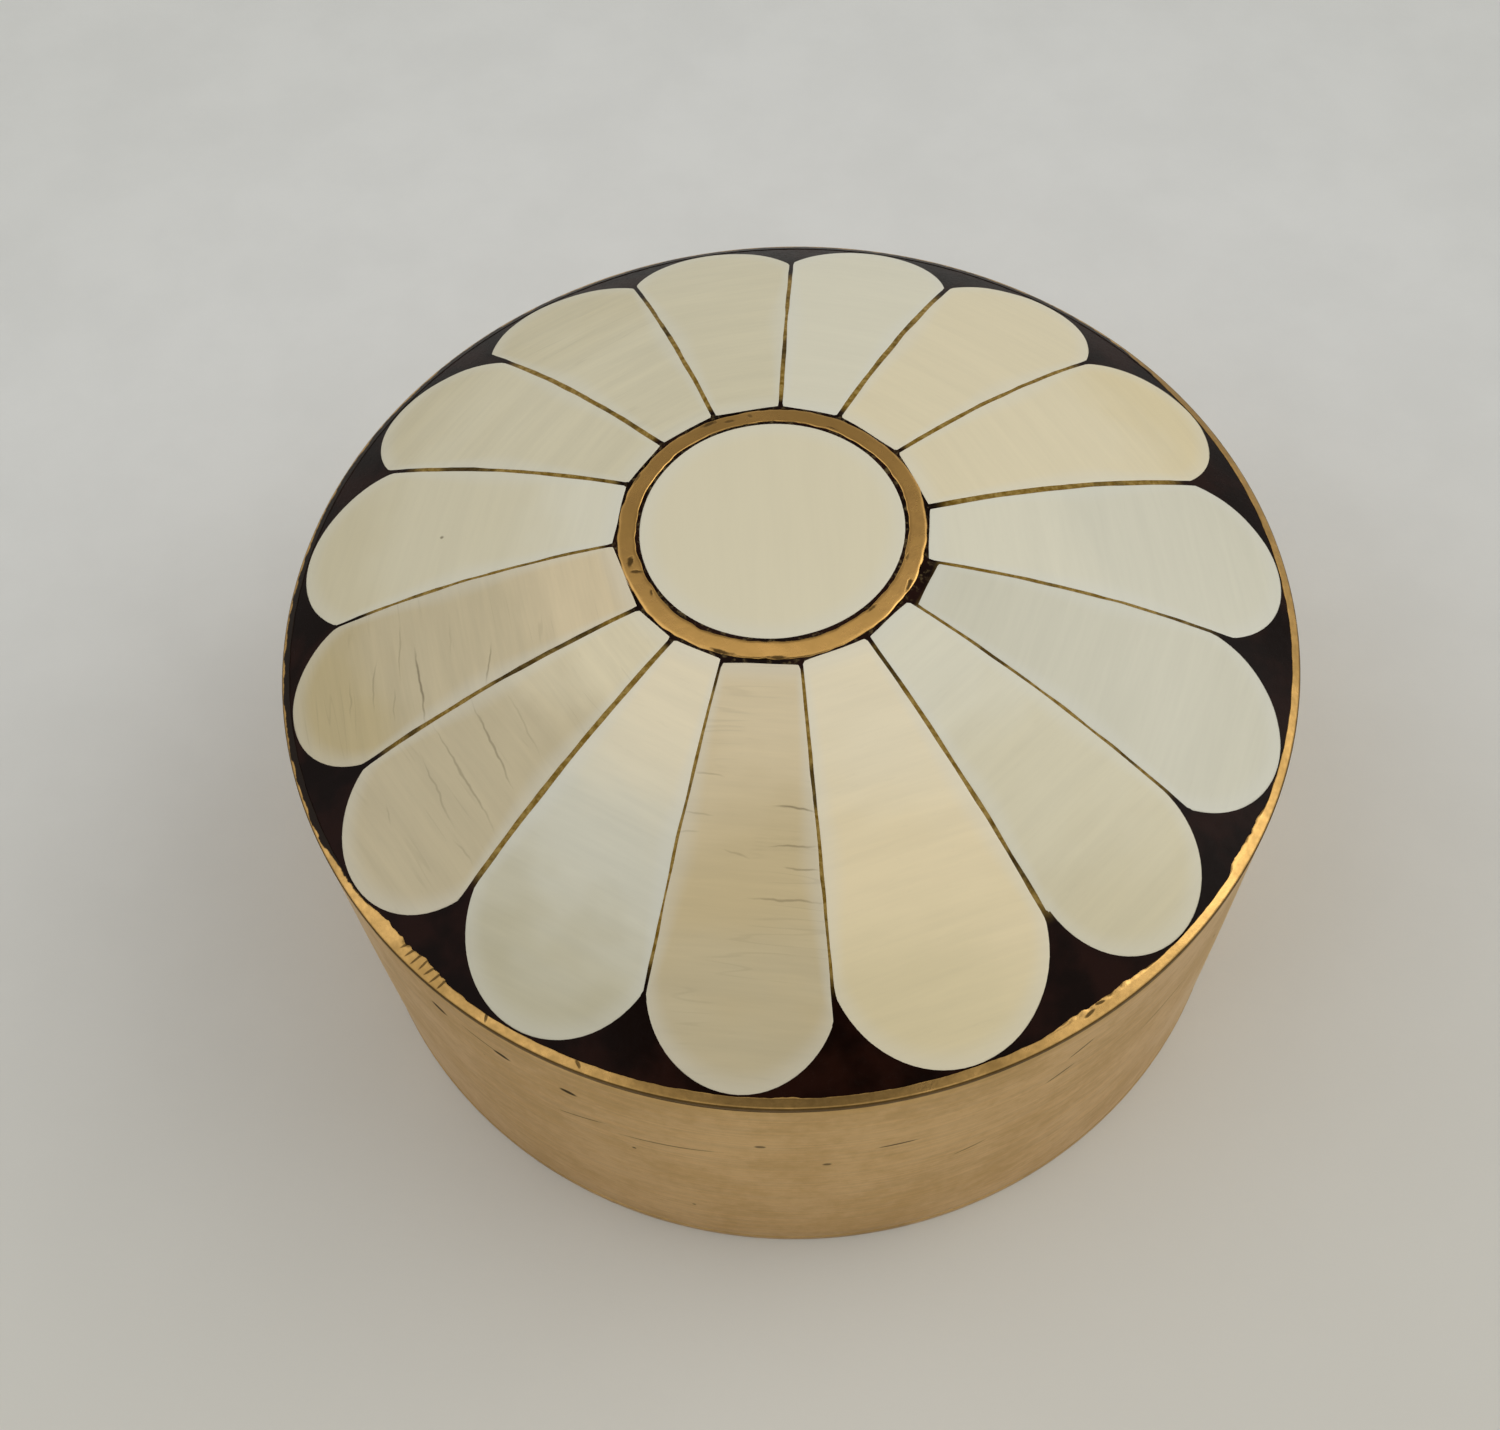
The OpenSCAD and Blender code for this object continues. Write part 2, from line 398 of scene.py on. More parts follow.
def resin():
    material, tree = empty_material("dark_resin")
    place = in_mm(tree)
    x, y, _ = add(tree, "ShaderNodeSeparateXYZ", {0: place}).outputs
    flat = add(tree, "ShaderNodeCombineXYZ", {0: x, 1: y}).outputs[0]
    out = add(tree, "ShaderNodeVectorMath", {0: flat}, operation="LENGTH").outputs["Value"]
    from_ring = add(
        tree, "ShaderNodeVectorMath", {0: flat, 1: (ring_x, ring_y, 0)}, operation="DISTANCE"
    ).outputs["Value"]
    cloud = noise_of(tree, place, 0.35, 3.0)
    speck = noise_of(tree, place, 2.6, 4.0, 0.7)
    along_seam = ramped(tree, out, seam_end - 1.0, seam_end + 0.4, 1.0, 0.0)
    thin = sums(tree, "MULTIPLY", along_seam, ramped(tree, from_ring, ring_r + 0.45, ring_r + 1.1))
    amber = layered(tree, ramped(tree, speck, 0.35, 0.65), (0.17, 0.095, 0.010, 1), (0.33, 0.22, 0.06, 1))
    thin = sums(tree, "MULTIPLY", thin, ramped(tree, cloud, 0.33, 0.5, 0.25, 1.0))
    clouded = ramped(tree, cloud, 0.4, 0.65)
    dark = layered(tree, clouded, (0.006, 0.0022, 0.0012, 1), (0.016, 0.005, 0.003, 1))
    # painted highlight: lighter brown specks near the ring stand for glints of light on the polished resin
    near_ring = ramped(tree, from_ring, ring_r + 0.1, ring_r + 0.6, 1.0, 0.0)
    painted_glint = sums(tree, "MULTIPLY", near_ring, ramped(tree, speck, 0.52, 0.66))
    dark = layered(tree, painted_glint, dark, (0.10, 0.07, 0.03, 1))
    colour = layered(tree, thin, dark, amber)
    bump = add(tree, "ShaderNodeBump", {"Height": speck, "Strength": 0.35, "Distance": 0.02 * mm})
    give_surface(
        tree,
        {
            "Base Color": colour,
            "Roughness": ramped(tree, speck, 0.3, 0.7, 0.14, 0.3),
            "Normal": bump.outputs[0],
            "Specular IOR Level": 0.05,
        },
    )
    return material


for resin_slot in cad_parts["resin_bed"].material_slots:
    resin_slot.material = resin()

# Bone petals. Fifteen thin pieces sawn from bone, each fitted to its neighbours along
# two straight seams and rounded at the rim, glued in resin and polished to the dome.
# where each seam meets the rim and the ring, in degrees counter-clockwise from the right
seam_rim = [14, 38.5, 62, 85, 107.5, 130.5, 154.5, 179.5, 200.5, 224, 250, 271.5, 299.5, 323, 349]
seam_ring = [
    *(4.5, 32.5, 60.5, 83, 108.5, 131.5, 153.5, 181.5),
    *(211.5, 229.5, 248.5, 276.5, 301.5, 322.5, 340.5),
]
# how wide each seam shows once the bone is polished down to it
seam_shows = [0.30, 0.22, 0.26, 0.20, 0.22, 0.26, 0.22, 0.15, 0.22, 0.25, 0.12, 0.15, 0.20, 0.14, 0.16]
ring_gap = 0.25
root_back = {11: 0.15, 14: 0.45}  # petals whose root stands farther back from the ring
tip_gap = 0.1
tip_share = 0.9  # a tip's radius, as a share of half the space between its seams at the rim
# how full each petal's tip is, as a factor on that radius, and how far it leans counter-clockwise
tip_full = [0.97, 1.01, 1.03, 1.08, 1.12, 0.97, 1.05, 1.03, 0.97, 0.93, 1.02, 0.93, 0.9, 0.94, 0.98]
tip_lean = [0, 0.2, 0.3, 0.15, 0.2, 0.15, 0, -0.1, 0, 0, 0, 0, 0.15, -0.25, -0.1]
petal_middle = 15.8  # where a petal is spread from, out from the middle of the lid
petal_length = 17.0
petal_squeeze = 0.52  # how wide a petal is for its length
petal_steps = 240
bone_t = 1.5
bone_proud = 0.012  # how far the polished bone stands above the resin
bone_edge = 0.04  # how far the rounded edge of a piece drops into the resin
edge_round = 0.1
edge_hidden = 0.05  # what the resin hides of the edge, all round
edge_wave = 0.06  # how far a hand-cut edge strays from its line
bone_rings = [0, 0.16, 0.3, 0.42, 0.53, 0.63, 0.72, 0.8, 0.87, 0.92, 0.955, 0.975, 0.985, 0.993, 1]

cool_white = (0.73, 0.69, 0.54)
white = (0.67, 0.64, 0.51)
grey_white = (0.64, 0.61, 0.48)
ivory = (0.76, 0.67, 0.46)
eggshell = (0.74, 0.67, 0.48)
cream = (0.82, 0.72, 0.51)
pink = (0.82, 0.69, 0.44)
sand = (0.73, 0.62, 0.38)
buff = (0.68, 0.62, 0.44)
straw = (0.64, 0.57, 0.38)
biscuit = (0.70, 0.58, 0.37)
tan = (0.60, 0.48, 0.27)
ash = (0.54, 0.49, 0.33)
beige = (0.57, 0.48, 0.30)
olive = (0.52, 0.42, 0.22)

# colours at the ring, in the middle and at the tip; streaks; cracks
petal_figure = [
    (ivory, ivory, sand, 0.5, 0.0),
    (ivory, ivory, ivory, 0.5, 0.0),
    (cool_white, cool_white, cool_white, 0.4, 0.0),
    (buff, buff, buff, 0.7, 0.0),
    (buff, buff, straw, 0.9, 0.1),
    (buff, buff, straw, 0.8, 0.0),
    (cool_white, buff, straw, 0.4, 0.0),
    (biscuit, beige, olive, 1.0, 0.12),
    (ivory, beige, beige, 1.0, 0.1),
    (cream, white, ash, 0.6, 0.0),
    (biscuit, tan, beige, 0.8, 0.1),
    (cream, pink, sand, 0.6, 0.0),
    (cool_white, buff, straw, 0.6, 0.0),
    (grey_white, grey_white, grey_white, 0.5, 0.0),
    (cool_white, white, white, 0.4, 0.0),
]

# the hairline cracks in a petal: across it, along it, length, width, tilt, darkness
hairlines = {
    7: [(0.3, 1.0, 0.2, 0.2, 0, 0.8)],
    8: [
        (1.4, 2.1, 3.9, 0.13, 1, 0.75),
        (1.9, -1.3, 1.9, 0.1, 16, 0.5),
        (-0.8, 2.8, 3.1, 0.11, 9, 0.3),
        (0.3, 4.3, 2.5, 0.11, 12, 0.35),
        (0.4, 5.6, 1.9, 0.1, 6, 0.25),
        (1.8, 3.5, 1.6, 0.1, 9, 0.25),
        (-0.2, 0.3, 1.6, 0.1, 7, 0.15),
    ],
    9: [
        (-0.3, 0.4, 4.7, 0.12, 10, 0.5),
        (-0.1, 2.2, 5.9, 0.12, 5, 0.42),
        (-0.5, 3.5, 3.8, 0.11, 9, 0.3),
        (0.0, -1.2, 3.6, 0.1, 8, 0.2),
        (-1.4, 5.8, 1.0, 0.1, 17, 0.2),
        (2.7, 4.1, 1.5, 0.11, -2, 0.2),
    ],
    11: [
        (1.7, -2.7, 1.9, 0.12, 4, 0.65),
        (1.7, -1.1, 2.1, 0.1, -6, 0.5),
        (2.2, -0.2, 1.5, 0.1, 0, 0.45),
        (1.6, 1.1, 3.2, 0.11, -1, 0.45),
        (-2.2, -3.9, 1.3, 0.1, 7, 0.3),
        (-2.5, -2.2, 1.3, 0.1, 0, 0.25),
        (-0.7, -0.6, 1.3, 0.1, 12, 0.25),
        (-2.9, -1.4, 0.9, 0.1, -9, 0.2),
    ],
}


def bone_structure():
    """Figure in the bone: clouds, fine streaks across the piece, pores and hairline cracks."""
    tree, given, result = shader_group(
        "bone_structure",
        {"Across and along": None, "Seed": 0.0},
        {"Cloud": 0.0, "Streak": 0.0, "Pore": 0.0, "Crack": 0.0},
    )
    seed = add(tree, "ShaderNodeCombineXYZ", {2: given["Seed"]}).outputs[0]
    place = add(
        tree, "ShaderNodeVectorMath", {0: given["Across and along"], 1: seed}, operation="ADD"
    ).outputs[0]

    def grain(across, along):
        stretch = (across, along, 1)
        return add(tree, "ShaderNodeVectorMath", {0: place, 1: stretch}, operation="MULTIPLY").outputs[0]

    cloud = noise_of(tree, grain(0.14, 0.2), 1.0, 3.0)
    broad = noise_of(tree, grain(0.12, 1.1), 1.0, 3.0, 0.5, 0.4)
    fine = noise_of(tree, grain(0.3, 4.5), 1.0, 4.0, 0.6)
    streak = sums(tree, "ADD", sums(tree, "MULTIPLY", broad, 0.6), sums(tree, "MULTIPLY", fine, 0.4))
    pore = ramped(tree, noise_of(tree, grain(1.3, 6.0), 1.0, 2.0), 0.64, 0.74)
    drift = noise_of(tree, grain(0.05, 0.75), 1.0, 2.0, 0.5)
    drift = sums(tree, "SUBTRACT", drift, 0.5)
    line = add(tree, "ShaderNodeMath", {0: drift}, operation="ABSOLUTE").outputs[0]
    patch = ramped(tree, noise_of(tree, grain(0.3, 0.2), 1.0, 2.0), 0.5, 0.62)
    crack = sums(tree, "MULTIPLY", ramped(tree, line, 0.003, 0.012, 1.0, 0.0), patch)
    for socket, value in (("Cloud", cloud), ("Streak", streak), ("Pore", pore), ("Crack", crack)):
        tree.links.new(value, result[socket])
    return tree


bone_figure = bone_structure()


def bone(name, root, middle, tip, streaks, cracks, seed, length, hairs=()):
    """Polished bone, tinted from one end of the piece to the other and paler at its edge."""
    material, tree = empty_material(name)
    grain = add(tree, "ShaderNodeUVMap", uv_map="grain").outputs[0]
    figure = add(tree, "ShaderNodeGroup", {}, node_tree=bone_figure)
    tree.links.new(grain, figure.inputs["Across and along"])
    figure.inputs["Seed"].default_value = seed
    _, along, _ = add(tree, "ShaderNodeSeparateXYZ", {0: grain}).outputs
    wander = sums(tree, "ADD", along, ramped(tree, figure.outputs["Cloud"], 0.3, 0.7, -1.5, 1.5))
    colour = layered(tree, ramped(tree, wander, -0.4 * length, 0.0), root + (1,), middle + (1,))
    colour = layered(tree, ramped(tree, wander, 0.05 * length, 0.42 * length), colour, tip + (1,))
    shade = ramped(tree, figure.outputs["Streak"], 0.25, 0.75, 1.0 - 0.08 * streaks, 1.0 + 0.05 * streaks)
    colour = shaded(tree, colour, shade)
    pores = sums(tree, "MULTIPLY", figure.outputs["Pore"], 0.08 * streaks)
    colour = layered(tree, pores, colour, (0.42, 0.36, 0.22, 1))
    edge = add(tree, "ShaderNodeAttribute", attribute_name="edge", attribute_type="GEOMETRY")
    paler = ramped(tree, edge.outputs["Fac"], edge_hidden, 1.2, 0.3, 0.0)
    colour = layered(tree, paler, colour, (0.70, 0.70, 0.64, 1))
    height = sums(tree, "MULTIPLY", figure.outputs["Streak"], 0.25)
    split = sums(tree, "MULTIPLY", figure.outputs["Crack"], cracks)
    if hairs:
        split = sums(tree, "MAXIMUM", split, scratches(tree, grain, hairs, 0.4, wander=0.35, soft=1.0))
    colour = layered(tree, split, colour, (0.17, 0.13, 0.06, 1))
    height = sums(tree, "SUBTRACT", height, split)
    bump = add(tree, "ShaderNodeBump", {"Height": height, "Strength": 0.4, "Distance": 0.02 * mm})
    give_surface(
        tree,
        {
            "Base Color": colour,
            "Roughness": ramped(tree, figure.outputs["Cloud"], 0.3, 0.7, 0.34, 0.44),
            "Normal": bump.outputs[0],
            "Specular IOR Level": 0.45,
        },
    )
    return material


def plan(radius, degrees, middle=(0, 0)):
    return Vector((middle[0] + radius * cos(radians(degrees)), middle[1] + radius * sin(radians(degrees))))


def way_out(start, heading, middle, radius):
    """Distance from start, along heading, at which a circle is left behind; 0 if it is missed."""
    off = start - middle
    half = off.dot(heading)
    inside = half * half - off.length_squared + radius * radius
    return -half + sqrt(inside) if inside > 0 else 0.0


def ring_disc(shares, steps):
    """A flat disc of radius 1 made of rings, its pole closed."""
    bm = bmesh.new()
    spoke = [bm.verts.new((share, 0, 0)) for share in shares]
    edges = [bm.edges.new(pair) for pair in zip(spoke, spoke[1:])]
    bmesh.ops.spin(
        bm, geom=spoke + edges, cent=(0, 0, 0), axis=(0, 0, 1), angle=2 * pi, steps=steps, use_merge=True
    )
    bmesh.ops.remove_doubles(bm, verts=bm.verts, dist=1e-6)
    bmesh.ops.recalc_face_normals(bm, faces=bm.faces)
    return bm


def inlay(bm, middle, outline, turn, squeeze, thickness):
    """Spread a flat disc over the dome to an outline, and give it its thickness.

    outline gives the distance from the middle to the edge in any direction."""
    edge = bm.verts.layers.float.new("edge")
    for v in bm.verts:
        share, step = hypot(v.co.x, v.co.y), atan2(v.co.y, v.co.x)
        heading = Vector((cos(step), squeeze * sin(step))).normalized()
        heading.rotate(Matrix.Rotation(turn, 2))
        reach = outline(heading)
        x, y = middle + heading * reach * share
        inner = reach * (1 - share)
        v[edge] = inner
        fall = max(0.0, 1 - inner / edge_round) ** 2
        v.co = (x, y, dome_height(x, y) + bone_proud - (bone_proud + bone_edge) * fall)
    bmesh.ops.solidify(bm, geom=bm.faces[:], thickness=thickness)
    grain = bm.loops.layers.uv.new("grain")
    for face in bm.faces:
        for loop in face.loops:
            off = loop.vert.co.xy - middle
            off.rotate(Matrix.Rotation(-turn, 2))
            loop[grain].uv = (off.y, off.x)
    return bm


petals = len(seam_rim)
for i in range(petals):
    j = (i + 1) % petals
    width = (seam_rim[j] - seam_rim[i]) % 360
    bisector = seam_rim[i] + width / 2
    tip_r = tip_full[i] * (rim_r - tip_gap) * tip_share * sin(radians(width / 2))
    inner_r = rim_r - tip_gap - tip_r
    tip = plan(inner_r, bisector) + plan(tip_lean[i], bisector + 90)
    middle = plan(petal_middle, bisector)
    sides = []
    for seam, facing in ((i, -1), (j, 1)):
        start = plan(ring_r, seam_ring[seam], (ring_x, ring_y))
        run = (plan(wall_r + 1, seam_rim[seam]) - start).normalized()
        normal = Vector((-run.y, run.x)) * facing
        sides.append((start - normal * seam_shows[seam] / 2, normal))
    root_width = (seam_ring[j] - seam_ring[i]) % 360
    inward = -plan(1, seam_ring[i] + root_width / 2)
    root = plan(ring_r + ring_gap + root_back.get(i + 1, 0), seam_ring[i], (ring_x, ring_y))
    sides.append((root, inward))

    def petal_edge(heading):
        reach = max(way_out(middle, heading, tip, tip_r), way_out(middle, heading, Vector((0, 0)), inner_r))
        for start, normal in sides:
            if heading.dot(normal) > 0:
                reach = min(reach, normal.dot(start - middle) / normal.dot(heading))
        at = middle + heading * reach
        wave = noise.noise(Vector((at.x, at.y, i * 7.0)) * 0.55)
        return reach + edge_hidden + edge_wave * wave

    blank = ring_disc(bone_rings, petal_steps)
    petal = inlay(blank, middle, petal_edge, radians(bisector), petal_squeeze, bone_t)
    name = f"petal_{i + 1:02d}"
    hairs = hairlines.get(i + 1, ())
    finish = bone(f"bone_{i + 1:02d}", *petal_figure[i], i * 13.7, petal_length, hairs)
    finished(petal, f"bone_{name}", finish, "lid", "bone", name)

# Bone centre. A round disc of the same bone, flush inside the brass ring.
disc_r = (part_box("centre_disc")[1].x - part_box("centre_disc")[0].x) / 2 / mm
disc_steps = 160
disc_length = 8.0
ring_middle = Vector((ring_x, ring_y))


def disc_edge(heading):
    return disc_r + edge_hidden + edge_wave * noise.noise(Vector((heading.x, heading.y, 3.0)) * 1.7)


disc = inlay(ring_disc(bone_rings, disc_steps), ring_middle, disc_edge, 0.0, 1.0, bone_t)
finish = bone("bone_centre", eggshell, eggshell, eggshell, 0.2, 0.0, 5.0, disc_length)
finished(disc, "bone_centre_disc", finish, "lid", "bone", "centre_disc")

# Brass ring. A narrow strip bent round by hand, set in the resin round the centre disc
# and filed flush; its edges are a little uneven and hold dark dirt.
ring_w = 0.9
ring_deep = 1.5  # how far it reaches below the dome
ring_proud = 0.03

# direction in degrees, distance from the ring's middle, length, width, tilt, darkness
ring_dirt = [
    (-169, 6.75, 0.9, 0.45, 20, 0.9),
    (-163, 6.6, 0.8, 0.3, -60, 0.85),
    (-151, 6.55, 0.7, 0.25, 15, 0.85),
    (112, 7.05, 1.3, 0.35, 0, 0.8),
    (104, 6.8, 0.9, 0.25, 10, 0.7),
    (95, 6.85, 0.5, 0.35, 40, 0.6),
    (-112, 7.15, 1.6, 0.25, 0, 0.9),
    (-92, 7.15, 1.4, 0.2, 3, 0.85),
    (-50, 6.5, 1.0, 0.2, 0, 0.8),
    (-32, 7.1, 1.1, 0.3, -8, 0.9),
    (-20, 6.5, 0.7, 0.18, 0, 0.7),
    (150, 7.15, 1.2, 0.2, 0, 0.7),
    (60, 6.55, 1.0, 0.18, 0, 0.7),
]


def ring_marks(tree):
    """Dirt caught on the ring, and nicks where its edges were filed."""
    away = add(tree, "ShaderNodeVectorMath", {0: in_mm(tree), 1: (ring_x, ring_y, 0)}, operation="SUBTRACT")
    x, y, _ = add(tree, "ShaderNodeSeparateXYZ", {0: away.outputs[0]}).outputs
    angle = add(tree, "ShaderNodeMath", {0: y, 1: x}, operation="ARCTAN2").outputs[0]
    plane = add(tree, "ShaderNodeCombineXYZ", {0: x, 1: y}).outputs[0]
    out = add(tree, "ShaderNodeVectorMath", {0: plane}, operation="LENGTH").outputs["Value"]
    around = sums(tree, "MULTIPLY", angle, ring_r)
    flat = add(tree, "ShaderNodeCombineXYZ", {0: around, 1: out}).outputs[0]
    marks = [(radians(degrees) * ring_r, *mark) for degrees, *mark in ring_dirt]
    return scratches(tree, flat, marks, ragged=1.2)


filed_brass = brass(
    "filed_brass",
    (0.72, 0.415, 0.13),
    (0.50, 0.29, 0.085),
    0.28,
    grain=(1.4, 1.4, 1.4),
    relief=0.03,
    pit_spacing=2.0,
    marks=ring_marks,
)
outline = [
    *steps_between((ring_r - ring_w, -ring_deep), (ring_r, -ring_deep), 1),
    *steps_between((ring_r, -ring_deep), (ring_r, ring_proud), 3),
    *steps_between((ring_r, ring_proud), (ring_r - ring_w, ring_proud), 5),
    *steps_between((ring_r - ring_w, ring_proud), (ring_r - ring_w, -ring_deep), 3),
]
ring = turned(outline)
soften(ring, 0.1)
for v in ring.verts:
    around = v.co.xy.normalized()
    sway = 0.10 * noise.noise(Vector((around.x, around.y, 1.0)) * 2.2)
    sway += 0.06 * noise.noise(Vector((around.x, around.y, 2.0)) * 5.0)
    ragged = 0.06 * noise.noise(Vector((around.x, around.y, v.co.length * 0.8)) * 14)
    x, y = v.co.xy * (1 + (sway + ragged) / ring_r) + ring_middle
    v.co = (x, y, v.co.z + dome_height(x, y))
finished(ring, "ring_strip", filed_brass, "lid", "brass_polished", "centre_ring")

# Hoop. A thin brass hoop soldered on the wall, which frames the inlay; filing has
# smeared its inner border over the resin in ragged tongues, and resin covers its back.
corner = dome_height(wall_r, 0)
smear_lift = 0.03
smear_reach = 1.0  # how far in the border is drawn before it is pulled back
smear_least = 0.03
hoop_steps = 1440
# where the metal was dragged inwards: from one direction to another, and how far
smears = [(-147, -128, 0.42), (-68, -50, 0.30), (-40, -29, 0.32), (-96, -92, 0.12), (108, 112, 0.1)]


def smear(degrees):
    """How far the border reaches over the resin in one direction."""
    far = 0.06
    for start, end, most in smears:
        into = (degrees - start) / (end - start)
        if 0 < into < 1:
            far = max(far, most * min(1, 4 * into, 3 * (1 - into)))
    return far


def hoop_flat(tree):
    """The hoop laid out flat, in millimetres: distance round it, and distance from the middle."""
    x, y, _ = add(tree, "ShaderNodeSeparateXYZ", {0: in_mm(tree)}).outputs
    angle = add(tree, "ShaderNodeMath", {0: y, 1: x}, operation="ARCTAN2").outputs[0]
    flat = add(tree, "ShaderNodeCombineXYZ", {0: x, 1: y}).outputs[0]
    out = add(tree, "ShaderNodeVectorMath", {0: flat}, operation="LENGTH").outputs["Value"]
    return sums(tree, "MULTIPLY", angle, wall_r), out


def hoop_marks(tree):
    """File nicks across the smeared border, and the joint line at the corner."""
    around, out = hoop_flat(tree)
    flat = add(tree, "ShaderNodeCombineXYZ", {0: around, 1: out}).outputs[0]
    nicks = [
        (-138.5 + i, 24.42 + 0.03 * i, 0.6 + 0.1 * (i % 3), 0.1, 120 - 5 * (i % 4), 0.7) for i in range(7)
    ]
    nicks += [(-61.5, 24.62, 0.6, 0.14, 170, 0.85), (-60, 24.48, 0.5, 0.12, 10, 0.85)]
    nicks += [(-126.5, 24.62, 0.5, 0.14, 70, 0.8), (-115.5, 24.68, 0.4, 0.14, 40, 0.7)]
    nicks = [(radians(degrees) * wall_r, *mark) for degrees, *mark in nicks]
    joint = ramped(tree, out, wall_r - 0.06, wall_r - 0.03, 0.0, 0.8)
    return sums(tree, "MAXIMUM", joint, scratches(tree, flat, nicks, ragged=0.5))


film_middle, film_half = 123, 91  # the direction it lies in, and how far it spreads each way
film_fade = 12  # over how many degrees it thins out at its ends
film_border = 24.88  # how far out it reaches


def hoop_film(tree):
    """Resin left over the hoop at the back and on the left."""
    _, out = hoop_flat(tree)
    x, y, _ = add(tree, "ShaderNodeSeparateXYZ", {0: in_mm(tree)}).outputs
    behind = (cos(radians(film_middle)), sin(radians(film_middle)), 0)
    plane = add(tree, "ShaderNodeCombineXYZ", {0: x, 1: y}).outputs[0]
    unit = add(tree, "ShaderNodeVectorMath", {0: plane}, operation="NORMALIZE").outputs[0]
    turned_back = add(tree, "ShaderNodeVectorMath", {0: unit, 1: behind}, operation="DOT_PRODUCT")
    near = turned_back.outputs["Value"]
    end, full = cos(radians(film_half)), cos(radians(film_half - film_fade))
    border = ramped(tree, near, end, full, rim_r, film_border)
    ragged = noise_of(tree, in_mm(tree), 1.3, 3.0)
    border = sums(tree, "ADD", border, ramped(tree, ragged, 0.3, 0.7, -0.06, 0.06))
    past = sums(tree, "SUBTRACT", out, border)
    inside = ramped(tree, near, cos(radians(film_half + 2)), cos(radians(film_half - 2)))
    return sums(tree, "MULTIPLY", ramped(tree, past, -0.03, 0.03, 1.0, 0.0), inside)


hoop_brass = brass(
    "hoop_brass",
    (0.70, 0.42, 0.14),
    (0.42, 0.25, 0.08),
    0.28,
    grain=(3, 3, 3),
    relief=0.04,
    pit_spacing=1.1,
    marks=hoop_marks,
    film=hoop_film,
)
outline = [
    (rim_r, hoop_foot),
    (wall_r, hoop_foot),
    (wall_r, corner),
    *dome_profile(-smear_lift, wall_r - 0.02, rim_r, 4),
    (rim_r, dome_height(rim_r, 0, -smear_lift)),
    (rim_r - smear_reach / 2, dome_height(rim_r - smear_reach / 2, 0, -smear_lift)),
    (rim_r - smear_reach, dome_height(rim_r - smear_reach, 0, 0.05)),
    (rim_r - smear_reach / 10, dome_height(rim_r - smear_reach / 10, 0, 0.08)),
]
hoop = turned(outline, hoop_steps)
soften(hoop, 0.04, angle=60, segments=3)
for v in hoop.verts:
    r = hypot(v.co.x, v.co.y)
    past = (rim_r - r) / smear_reach
    if past > 0:
        far = smear(atan2(v.co.y, v.co.x) / radians(1))
        torn = noise.noise(Vector((v.co.x, v.co.y, 0)) * 1.1)
        torn += 0.6 * noise.noise(Vector((v.co.x, v.co.y, 5)) * 4.0)
        tongue = max(smear_least, far * (1 + 0.55 * torn) + 0.03 * torn)
        rise = v.co.z - dome_height(v.co.x, v.co.y)
        v.co.xy *= (rim_r - past * tongue) / r
        v.co.z = dome_height(v.co.x, v.co.y) + rise
finished(hoop, "hoop_strip", hoop_brass, "lid", "brass_polished", "lid_hoop")

# Table. A sheet of pale paper under the box, large enough to fill the view; shade is painted on it, darker
# and warmer towards the front and darker far from the box.
paper_half = 600


def paper():
    material, tree = empty_material("pale_paper")
    place = in_mm(tree)
    mottle = noise_of(tree, place, 0.12, 5.0, 0.6)
    fibre = noise_of(tree, place, 1.1, 4.0, 0.7)
    colour = layered(tree, ramped(tree, mottle, 0.3, 0.7), (0.70, 0.70, 0.68, 1), (0.73, 0.73, 0.71, 1))
    _, y, _ = add(tree, "ShaderNodeSeparateXYZ", {0: place}).outputs
    # painted shade: the paper is painted darker and warmer towards the front, for the weaker light there
    front_shade = ramped(tree, y, -60.0, 45.0, 1.0, 0.0)
    colour = layered(tree, front_shade, colour, (0.66, 0.64, 0.58, 1))
    # painted shade: the paper is painted darker far from the box, for light that falls off towards the edges
    # of the view
    away = add(tree, "ShaderNodeVectorMath", {0: place}, operation="LENGTH").outputs["Value"]
    colour = layered(tree, ramped(tree, away, 45.0, 90.0), colour, (0.92, 0.92, 0.91, 1), "MULTIPLY")
    bump = add(tree, "ShaderNodeBump", {"Height": fibre, "Strength": 0.25, "Distance": 0.05 * mm})
    give_surface(
        tree,
        {"Base Color": colour, "Roughness": 0.85, "Normal": bump.outputs[0], "Specular IOR Level": 0.2},
    )
    return material


sheet = bmesh.new()
bmesh.ops.create_grid(sheet, x_segments=8, y_segments=8, size=paper_half * mm)
mesh = bpy.data.meshes.new("table_paper")
sheet.to_mesh(mesh)
sheet.free()
mesh.materials.append(paper())
table = bpy.data.objects.new("table_paper", mesh)
bpy.context.scene.collection.objects.link(table)

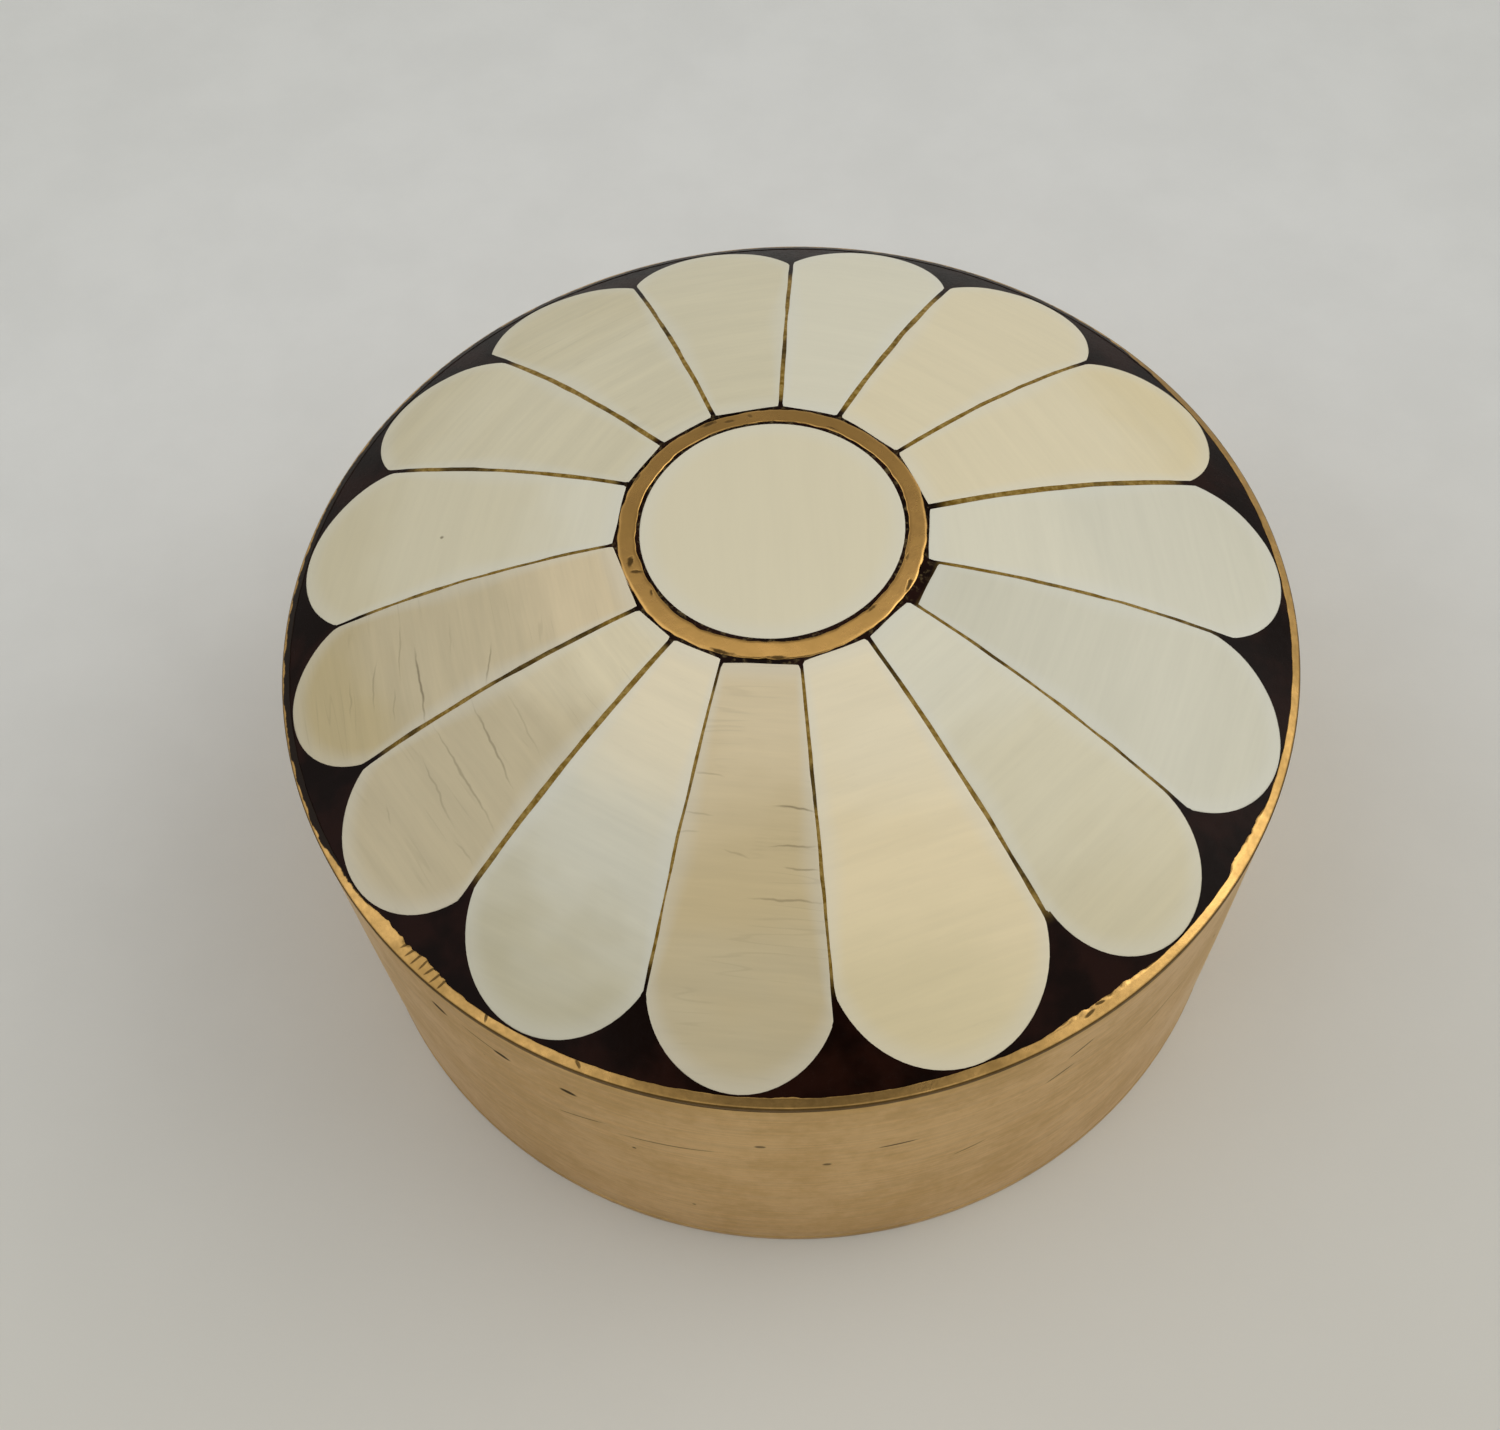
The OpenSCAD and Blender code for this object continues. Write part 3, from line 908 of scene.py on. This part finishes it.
# Light. A pale room: brightest at the window on the right, softer on the left and
# overhead, and dark in front, so that the polished resin stays dark.
world = bpy.data.worlds.new("room")
bpy.context.scene.world = world
world.use_nodes = True
room = world.node_tree
facing = add(room, "ShaderNodeTexCoord").outputs["Generated"]


def towards(azimuth, elevation, inner, outer):
    """1 towards a direction and 0 away from it, between two cone angles in degrees."""
    level = cos(radians(elevation))
    heading = (level * cos(radians(azimuth)), level * sin(radians(azimuth)), sin(radians(elevation)))
    near = add(room, "ShaderNodeVectorMath", {0: facing, 1: heading}, operation="DOT_PRODUCT")
    return ramped(room, near.outputs["Value"], cos(radians(outer)), cos(radians(inner)))


# azimuth, elevation, inner and outer cone, and the light that comes from there
room_parts = [
    ((90, 46, 14, 36), (0.30, 0.29, 0.27)),
    ((105, 78, 6, 18), (0.95, 0.94, 0.90)),
    ((185, 44, 16, 38), (1.15, 1.17, 1.20)),
    ((8, 38, 12, 30), (2.30, 2.30, 2.22)),
    ((-90, 60, 16, 32), (0.02, 0.02, 0.02)),
]
low_light, high_light = (0.50, 0.50, 0.48, 1), (0.94, 0.94, 0.93, 1)
light = layered(room, towards(0, 90, 52, 86), low_light, high_light)
for part, shade in room_parts:
    light = layered(room, towards(*part), light, shade + (1,))
room.links.new(light, room.nodes["Background"].inputs["Color"])

# Camera. Looks down on the front of the box from a little above arm's height.
elevation, roll = radians(59.9), radians(-4.0)
distance = 92.1
beside, above = 1.8, 4.7  # where the rim's centre lies from the line of sight
camera = bpy.data.objects.new("camera", bpy.data.cameras.new("camera"))
bpy.context.scene.collection.objects.link(camera)
camera.data.sensor_width = 36.0
camera.data.lens = 44.6
camera.data.clip_start = 0.001
turn = Matrix.Rotation(pi / 2 - elevation, 3, "X") @ Matrix.Rotation(roll, 3, "Z")
rim_centre = Vector((0, 0, corner))
place = rim_centre - turn @ Vector((beside, above, -distance))
camera.matrix_world = Matrix.Translation(place * mm) @ turn.to_4x4()
bpy.context.scene.camera = camera
bpy.context.scene.view_settings.view_transform = "Standard"
